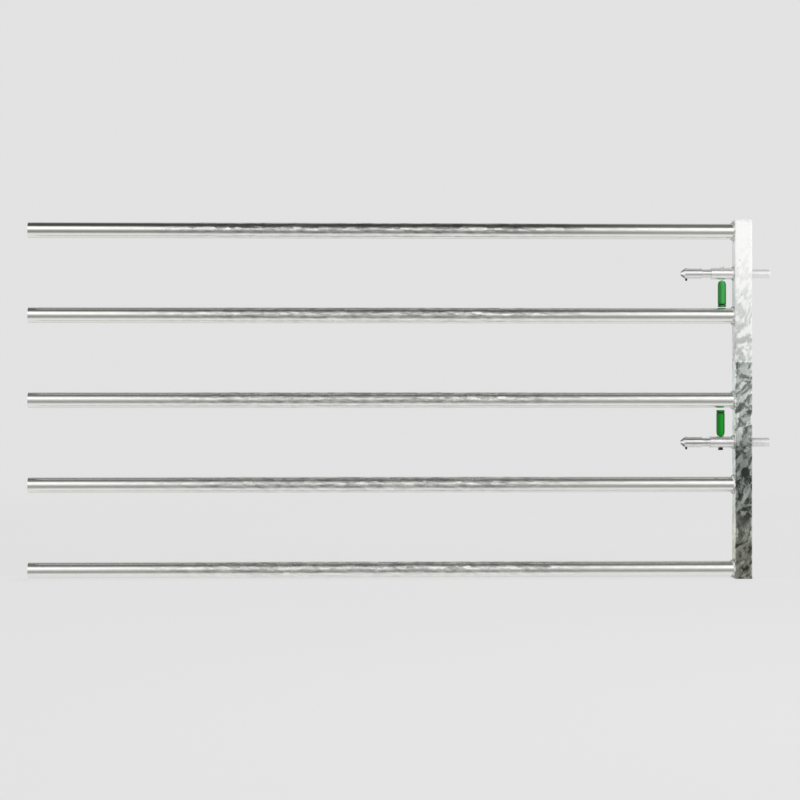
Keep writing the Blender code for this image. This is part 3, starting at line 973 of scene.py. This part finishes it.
def grip_section(latch, outer, neck, grip_length, floor):
    """The section of a grip: far end, groove, body, round shoulder and blind bore."""
    bore = latch.stem_diameter / 2 + BLIND_PLAY
    end_centre = (outer - latch.grip_edge, grip_length - latch.grip_edge)
    top = grip_length - latch.groove_inset
    foot = top - latch.groove_width
    groove = [(outer, top + GROOVE_LIP), (outer, top), (outer - latch.groove_depth, (top + foot) / 2)]
    groove += [(outer, foot), (outer, foot - GROOVE_LIP)]
    section = [(0, grip_length)]
    section += arc(end_centre, latch.grip_edge, 90, 0, CORNER_FACETS)
    section += eased(groove, GROOVE_EASE, 4)
    for across, rise in arc((0, 0), 1, 0, -90, SHOULDER_STEPS):
        section.append((neck + (outer - neck) * across, latch.grip_shoulder * (1 + rise)))
    return section + [(bore + BORE_LEAD, 0), (bore, BORE_LEAD), (bore, floor), (0, floor)]


class GATE_OT_upright(bpy.types.Operator):
    """Build the square upright with its holes, and its two end plates"""

    bl_idname = "gate.upright"
    bl_label = "Upright"

    def execute(self, context):
        frame, _, _, _ = settings()
        side = span("upright", X)
        wall = frame.upright_wall
        outer = rounded_square(side, frame.upright_corner)
        inner = rounded_square(side - 2 * wall, frame.upright_corner - wall)
        tube = prism("upright_tube", outer, low("upright", Z), high("upright", Z), inner)
        cutters = []
        for z in heights(SLEEVES):
            cutters.append(drill(frame.bolt_hole, 2 * side, TO_LEFT, (0, 0, z), BAR_FACETS))
            cutters.append(drill(frame.pin_access, 4 * wall, TO_BACK, (0, side / 2, z)))
        for z in heights(RAILS):
            cutters.append(drill(frame.rail_vent, 4 * wall, TO_LEFT, (-side / 2, 0, z)))
        softened(drilled(tube, cutters), frame.edge_ease)
        dressed(shaded(tube), GATE_BODY, "galvanised_upright", "galvanised_steel", "upright")
        vent_x = side / 2 - wall - frame.cap_vent
        for node in ("bottom_cap", "top_cap"):
            plate = prism(f"{node}_plate", outer, low(node, Z), high(node, Z))
            vent = drill(frame.cap_vent, side, UPWARD, (vent_x, 0, middle(node, Z)))
            softened(drilled(plate, [vent]), frame.edge_ease)
            dressed(shaded(plate), GATE_BODY, "galvanised_upright", "galvanised_steel", node)
        return {"FINISHED"}


class GATE_OT_rails(bpy.types.Operator):
    """Build the five open round rails"""

    bl_idname = "gate.rails"
    bl_label = "Rails"

    def execute(self, context):
        frame, _, _, _ = settings()
        rails = rail_tubes("rail_tubes", frame)
        baked(modified(rails, "SOLIDIFY", thickness=frame.rail_wall, offset=-1))
        softened(rails, frame.edge_ease)
        dressed(shaded(rails), GATE_BODY, "galvanised_rail", "galvanised_steel", *RAILS)
        return {"FINISHED"}


class GATE_OT_welds(bpy.types.Operator):
    """Lay the welds round the rails, the sleeves and the end plates"""

    bl_idname = "gate.welds"
    bl_label = "Welds"

    def execute(self, context):
        frame, _, _, _ = settings()
        rail = (RAILS, frame.rail_diameter / 2, frame.rail_weld_leg, RAIL_WELD_RIPPLES)
        sleeve = (SLEEVES, span(SLEEVES[0], Z) / 2, frame.sleeve_weld_leg, SLEEVE_WELD_RIPPLES)
        for use, sizes, nodes in (("rail", rail, RAIL_WELDS), ("sleeve", sleeve, SLEEVE_WELDS)):
            beads = weld_beads(f"{use}_weld_beads", frame, *sizes)
            dressed(beads, GATE_BODY, "zinc_on_weld", "weld_zinc", *nodes)
        dressed(cap_seams("cap_weld_seams", frame), GATE_BODY, "galvanised_upright", "weld_zinc")
        return {"FINISHED"}


class GATE_OT_sleeves(bpy.types.Operator):
    """Build the two slotted guide sleeves"""

    bl_idname = "gate.sleeves"
    bl_label = "Guide sleeves"

    def execute(self, context):
        frame, latch, _, _ = settings()
        for prefix, _ in LATCHES:
            node = f"{prefix}_guide_sleeve"
            outer, bore = span(node, Z) / 2, latch.sleeve_bore / 2
            end = span(node, X)
            z = middle(node, Z)
            section = [(outer, end), (outer, 0), (bore, 0), (bore, end)]
            section = eased(section, frame.edge_ease, closed=True)
            sleeve = bolt_piece(f"{prefix}_sleeve_tube", section, node, closed=True)
            right = middle(f"{prefix}_handle_grip", X)
            left = 2 * low(node, X) - right
            half = latch.slot_width / 2
            outline = [(left, -half), (right, -half), (right, half), (left, half)]
            slot = prism("slot", outline, z - 2 * outer, z + 2 * outer)
            slot_end = drill(latch.slot_width, 4 * outer, UPWARD, (right, 0, z))
            drilled(sleeve, [slot_end, slot])
            dressed(shaded(sleeve), GATE_BODY, "galvanised_sleeve", "galvanised_steel", node)
        return {"FINISHED"}


class GATE_OT_bolts(bpy.types.Operator):
    """Turn the two round draw bolts, drilled for their pins and stems"""

    bl_idname = "gate.bolts"
    bl_label = "Draw bolts"

    def execute(self, context):
        frame, latch, _, _ = settings()
        radius = latch.bolt_diameter / 2
        chamfer = latch.bolt_chamfer
        for prefix, _ in LATCHES:
            node = f"{prefix}_draw_bolt"
            tail = span(node, X)
            z = middle(node, Z)
            section = [(0, tail), (radius, tail), (radius, chamfer), (radius - chamfer, 0), (0, 0)]
            bar = bolt_piece(f"{prefix}_bolt_bar", eased(section, frame.edge_ease), node)
            drills = [
                pin_drill(f"{prefix}_handle_stem", 4 * radius, UPWARD, z, latch.stem_diameter),
                pin_drill(f"{prefix}_collar_pin", 4 * radius, UPWARD, z),
                pin_drill(f"{prefix}_retaining_pin", 4 * radius, TO_BACK, z),
            ]
            drilled(bar, drills)
            dressed(shaded(bar), f"{prefix}_bolt", "bright_zinc_bar", "bright_zinc", node)
        return {"FINISHED"}


class GATE_OT_collars(bpy.types.Operator):
    """Turn the coned pull collars on the bolts' tails"""

    bl_idname = "gate.collars"
    bl_label = "Pull collars"

    def execute(self, context):
        frame, latch, _, _ = settings()
        straight = latch.collar_length
        bore = latch.collar_bore / 2
        floor = straight + BLIND_PLAY
        for prefix, _ in LATCHES:
            node = f"{prefix}_pull_collar"
            outer = span(node, Z) / 2
            end = span(node, X)
            section = [(0, end), (latch.collar_tip / 2, end), (outer, straight), (outer, 0)]
            section += [(bore, 0), (bore, floor), (0, floor)]
            collar = bolt_piece(f"{prefix}_collar_shell", eased(section, frame.edge_ease), node)
            drilled(collar, [pin_drill(f"{prefix}_collar_pin", 4 * outer, UPWARD, middle(node, Z))])
            dressed(shaded(collar), f"{prefix}_bolt", "bright_zinc_bar", "bright_zinc", node)
        return {"FINISHED"}


class GATE_OT_pins(bpy.types.Operator):
    """Turn the collar pins and the retaining pins"""

    bl_idname = "gate.pins"
    bl_label = "Pins"

    def execute(self, context):
        _, latch, _, _ = settings()
        for prefix, _ in LATCHES:
            for use, turn, axis in (("collar_pin", UPWARD, Z), ("retaining_pin", TO_BACK, Y)):
                node = f"{prefix}_{use}"
                radius = span(node, X) / 2
                section = bar_section(radius, span(node, axis) / 2)
                section = eased(section, 4 * latch.pin_ease * radius, 4)
                place = [middle(node, part) for part in (X, Y, Z)]
                pin = turned(f"{node}_rod", section, PIN_FACETS, turn, place)
                dressed(shaded(pin), f"{prefix}_bolt", "blackened_steel_and_painted_shade", "black_steel", node)
        return {"FINISHED"}


class GATE_OT_stems(bpy.types.Operator):
    """Build the handles' threaded stems with their hexagon heads"""

    bl_idname = "gate.stems"
    bl_label = "Handle stems"

    def execute(self, context):
        _, latch, _, _ = settings()
        for prefix, side in LATCHES:
            node = f"{prefix}_handle_stem"
            turn, back = (UPWARD, DOWNWARD) if side > 0 else (DOWNWARD, UPWARD)
            foot = (middle(node, X), 0, tip(node, -side) + side * latch.hex_height)
            shank_length = span(node, Z) - latch.hex_height
            plain = 2 * abs(middle(f"{prefix}_draw_bolt", Z) - foot[Z])
            shank = threaded(f"{prefix}_stem_shank", latch, shank_length, plain, turn, foot)
            head = hex_head(f"{prefix}_stem_head", latch, back, foot)
            for piece in (shank, head):
                dressed(shaded(piece), f"{prefix}_bolt", *STEM_FINISHES[prefix], node)
        return {"FINISHED"}


class GATE_OT_grips(bpy.types.Operator):
    """Mould the two green grips"""

    bl_idname = "gate.grips"
    bl_label = "Grips"

    def execute(self, context):
        _, latch, _, _ = settings()
        neck = latch.grip_neck / 2

        def parted(angle, radius, height):
            """A fine ridge where the mould's halves met, in front and behind."""
            on_body = radius >= neck and height >= RIDGE_START
            on_seam = abs(math.cos(angle)) < RIDGE_ANGLE
            return radius + (RIDGE_HEIGHT if on_body and on_seam else 0), height

        for prefix, side in LATCHES:
            node = f"{prefix}_handle_grip"
            near = tip(node, -side)
            floor = abs(tip(f"{prefix}_handle_stem", side) - near) + BLIND_PLAY
            section = grip_section(latch, span(node, X) / 2, neck, span(node, Z), floor)
            name = f"{prefix}_grip_moulding"
            turn = UPWARD if side > 0 else DOWNWARD
            place = (middle(node, X), 0, near)
            grip = turned(name, section, GRIP_FACETS, turn, place, shape=parted)
            dressed(shaded(grip), f"{prefix}_bolt", "green_moulding", "green_plastic", node)
        return {"FINISHED"}


def floor_finish(recipe, studio):
    """A pale floor that glows a little, so that it is even and still takes a soft shadow."""
    x, y, _ = recipe.parts(recipe.place())
    far = recipe.smooth(recipe.maths("SQRT", x * x + y * y), *FLOOR_FADE)
    tone = (*studio.background, 1)
    glow = recipe.node("ShaderNodeEmission", values={"Color": tone, "Strength": FLOOR_GLOW})
    matt = (*dimmed(studio.background, FLOOR_MATT), 1)
    matt = recipe.node("ShaderNodeBsdfDiffuse", values={"Color": matt})
    near = recipe.node("ShaderNodeAddShader", values={0: glow, 1: matt})
    plain = recipe.node("ShaderNodeEmission", values={"Color": tone, "Strength": 1})
    return recipe.node("ShaderNodeMixShader", values={0: far, 1: near, 2: plain})


# Height of a direction, from 0 straight down to 1 straight up, and the light that comes from there
FRONT_BANDS = (
    (0.0, 0.57),
    (0.06, 0.60),
    (0.11, 0.49),
    (0.16, 0.31),
    (0.22, 0.20),
    (0.34, 0.19),
    (0.43, 0.28),
    (0.50, 0.45),
    (0.56, 0.66),
    (0.62, 0.86),
    (0.72, 0.97),
    (0.81, 0.93),
    (0.86, 0.56),
    (0.90, 0.12),
    (1.0, 0.04),
)
BACK_BANDS = (
    (0.0, 0.57),
    (0.10, 0.60),
    (0.16, 0.45),
    (0.40, 0.40),
    (0.46, 0.50),
    (0.53, 0.55),
    (0.75, 0.50),
    (0.88, 0.42),
    (0.95, 0.12),
    (1.0, 0.04),
)

# How much of the plain background a metal surface shows of what stands behind the gate
MIRRORED_BACKGROUND = 0.35


def studio_world(studio):
    """Light from all round: in front a bright band over a dull one, behind a pale room."""
    world = bpy.data.worlds.new("studio")
    world.use_nodes = True
    world.node_tree.nodes.clear()
    recipe = Recipe(world.node_tree)
    x, y, z = recipe.parts(recipe.node("ShaderNodeTexCoord", output="Generated"))
    height = 0.5 + 0.5 * z
    front = recipe.node("ShaderNodeValToRGB", {"stops": FRONT_BANDS}, {0: height})
    back = recipe.node("ShaderNodeValToRGB", {"stops": BACK_BANDS}, {0: height})
    # In front a dark gap that runs up the middle
    off_gap = (x - 0.03) / 0.125
    gap = recipe.smooth(off_gap * off_gap, 1, 0) * recipe.smooth(z, -0.15, 0)
    gap = gap * (0.62 + 0.38 * recipe.smooth(z, 0.36, 0.56))
    front = recipe.blend(gap, front, (0.045, 0.045, 0.043))
    behind = recipe.smooth(y, -0.15, 0.2)
    bands = recipe.blend(behind, front, back)
    # Pale walls at the sides, a dark doorway behind on the left, and a bright strip on the right
    steep = abs(z)
    level = recipe.smooth(steep, 0.5, 0.4)
    side = recipe.smooth(abs(x), 0.78, 0.86)
    bands = recipe.blend(side * level, bands, (0.8, 0.8, 0.8))
    doorway = recipe.smooth(x, -0.35, -0.5) * recipe.smooth(y, -0.25, 0)
    doorway = doorway * recipe.smooth(steep, 0.1, 0.22)
    bands = recipe.blend(doorway, bands, (0.03, 0.03, 0.03))
    strip = level * recipe.smooth(abs(x - 0.45), 0.07, 0.05)
    rays = recipe.node("ShaderNodeLightPath", output="Is Camera Ray")
    below_ceiling = recipe.smooth(z, 0.8, 0.6)
    mirrored = MIRRORED_BACKGROUND * behind * below_ceiling * (1 - doorway) * rays["Is Glossy Ray"]
    seen = rays + rays["Is Transmission Ray"] + mirrored
    light = recipe.node("ShaderNodeBackground", values={"Color": bands, "Strength": 1.4 + 3 * strip})
    plain = recipe.node("ShaderNodeBackground", values={"Color": (*studio.background, 1)})
    mixed = recipe.node("ShaderNodeMixShader", values={0: seen, 1: light, 2: plain})
    recipe.node("ShaderNodeOutputWorld", values={"Surface": mixed})
    bpy.context.scene.world = world


def soft_lamp(name, power, place, target):
    """A large square lamp that points at a place."""
    lamp = bpy.data.lights.new(name, "AREA")
    lamp.energy = power
    lamp.shape = "SQUARE"
    lamp.size = LAMP_SIZE
    obj = bpy.data.objects.new(name, lamp)
    bpy.context.scene.collection.objects.link(obj)
    obj.location = place
    obj.rotation_euler = (Vector(target) - Vector(place)).to_track_quat("-Z", "Y").to_euler()
    obj.visible_glossy = False


class GATE_OT_stage(bpy.types.Operator):
    """Lay the floor, hang the lamps and place the camera"""

    bl_idname = "gate.stage"
    bl_label = "Stage"

    def execute(self, context):
        _, _, _, studio = settings()
        scene = context.scene
        centre_x = (CAD_BOX[0].x + CAD_BOX[1].x) / 2
        made = bmesh.new()
        bmesh.ops.create_circle(made, cap_ends=True, segments=studio.facets, radius=FLOOR_RADIUS)
        floor = mesh_object("floor", made)
        floor.location = (centre_x, 0, -FLOOR_DROP)
        floor.data.materials.append(new_material("pale_floor", floor_finish, studio))
        floor.visible_glossy = False
        studio_world(studio)
        for name, (level, place) in LAMPS.items():
            soft_lamp(name, level * studio.key_power, place, (centre_x, 0, LAMP_AIM))
        camera = bpy.data.cameras.new("camera")
        camera.lens = studio.lens
        camera.sensor_width = SENSOR_WIDTH
        viewer = bpy.data.objects.new("camera", camera)
        scene.collection.objects.link(viewer)
        viewer.location = CAMERA_PLACE
        viewer.rotation_euler = CAMERA_TURN
        scene.camera = viewer
        scene.view_settings.view_transform = "Standard"
        return {"FINISHED"}


PIECES = (
    GATE_OT_upright,
    GATE_OT_rails,
    GATE_OT_welds,
    GATE_OT_sleeves,
    GATE_OT_bolts,
    GATE_OT_collars,
    GATE_OT_pins,
    GATE_OT_stems,
    GATE_OT_grips,
    GATE_OT_stage,
)


class GATE_PT_parts(bpy.types.Panel):
    """Buttons and settings of the gate"""

    bl_label = "Cattle gate"
    bl_idname = "GATE_PT_parts"
    bl_space_type = "VIEW_3D"
    bl_region_type = "UI"
    bl_category = "Gate"

    def draw(self, context):
        for piece in PIECES:
            self.layout.operator(piece.bl_idname)
        for group in settings():
            box = self.layout.box()
            for name in group.bl_rna.properties.keys():
                if name not in ("rna_type", "name"):
                    box.prop(group, name)


GROUPS = {
    "gate_frame_sizes": FrameSizes,
    "gate_latch_sizes": LatchSizes,
    "gate_finishes": Finishes,
    "gate_studio": Studio,
}


def register():
    """Add the settings, the operators and the panel."""
    for name, group in GROUPS.items():
        bpy.utils.register_class(group)
        setattr(bpy.types.Scene, name, PointerProperty(type=group))
    for piece in (*PIECES, GATE_PT_parts):
        bpy.utils.register_class(piece)


def unregister():
    """Take the panel, the operators and the settings away again."""
    for piece in (GATE_PT_parts, *reversed(PIECES)):
        bpy.utils.unregister_class(piece)
    for name, group in reversed(GROUPS.items()):
        delattr(bpy.types.Scene, name)
        bpy.utils.unregister_class(group)


def main():
    """Build every piece in order."""
    register()
    for piece in PIECES:
        space, action = piece.bl_idname.split(".")
        getattr(getattr(bpy.ops, space), action)()


if __name__ == "__main__":
    main()
